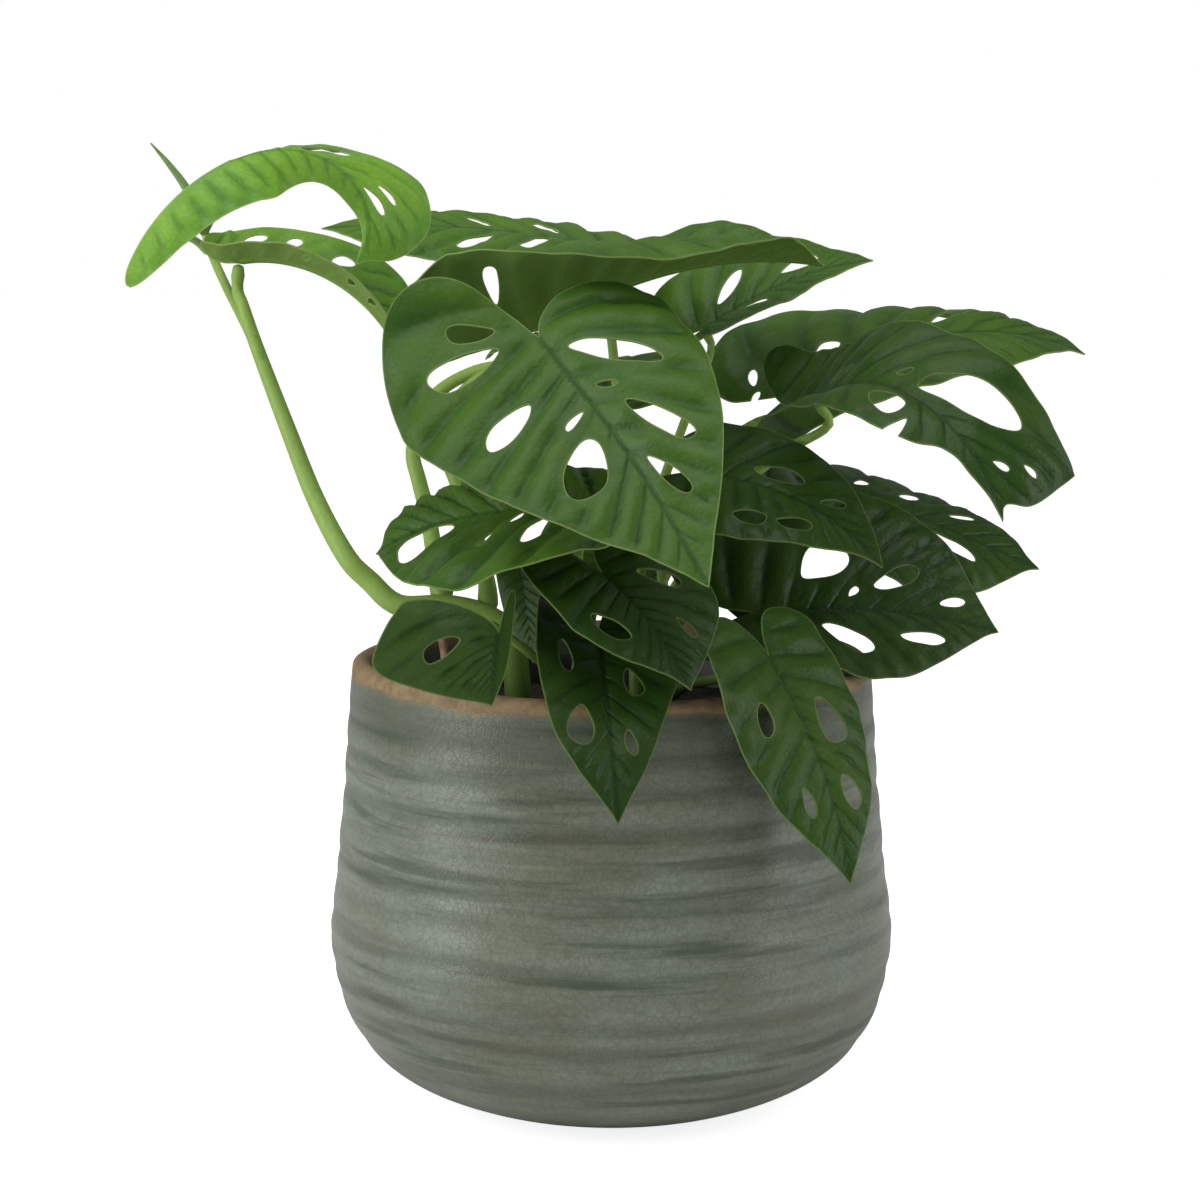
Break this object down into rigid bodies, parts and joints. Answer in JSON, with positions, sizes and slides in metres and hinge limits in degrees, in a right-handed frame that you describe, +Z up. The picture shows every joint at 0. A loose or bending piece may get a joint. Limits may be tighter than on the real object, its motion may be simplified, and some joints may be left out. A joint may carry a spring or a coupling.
{
  "type": "potted monstera adansonii",
  "caption": "Swiss cheese vine with holed heart-shaped leaves on slim green petioles, growing in a round crackle-glazed pot.",
  "frame": {"origin": "on the ground under the middle of the pot's foot", "axes": "+Z up, the side seen in the picture faces -Y, +X to its right"},
  "size_m": [0.3014, 0.2576, 0.2942],
  "materials": {
    "glaze": "glossy grey-green crackle glaze with a raw tan rim",
    "black_plastic": "matte",
    "soil": "rough dark peat",
    "stem": "smooth fresh green stem",
    "leaf": "glossy leaf",
    "dark_leaf": "glossy dark leaf",
    "fresh_leaf": "satin young leaf",
    "dry_wood": "dry and rough",
    "dry_sheath": "dry and papery"
  },
  "bodies": {
    "root": {"dry_stick": "dry_wood", "leaf_back": "fresh_leaf", "leaf_edge": "dark_leaf", "leaf_front": "leaf", "leaf_inner": "dark_leaf", "leaf_left_fold": "fresh_leaf", "leaf_low_front": "dark_leaf", "leaf_low_left": "leaf", "leaf_low_mid": "dark_leaf", "leaf_low_right": "dark_leaf", "leaf_mid_left": "leaf", "leaf_mid_upper": "leaf", "leaf_rear_high": "leaf", "leaf_rear_low": "dark_leaf", "leaf_right_back": "leaf", "leaf_right_far": "leaf", "leaf_right_front": "leaf", "leaf_right_low": "dark_leaf", "leaf_right_mid": "dark_leaf", "leaf_top_left": "fresh_leaf", "leaf_top_right": "fresh_leaf", "nursery_pot": "black_plastic", "pot": "glaze", "sheath": "dry_sheath", "shoot": "fresh_leaf", "soil": "soil", "vine_back": "stem", "vine_front": "stem", "vine_left": "stem", "vine_right": "stem"}
  },
  "joints": []
}
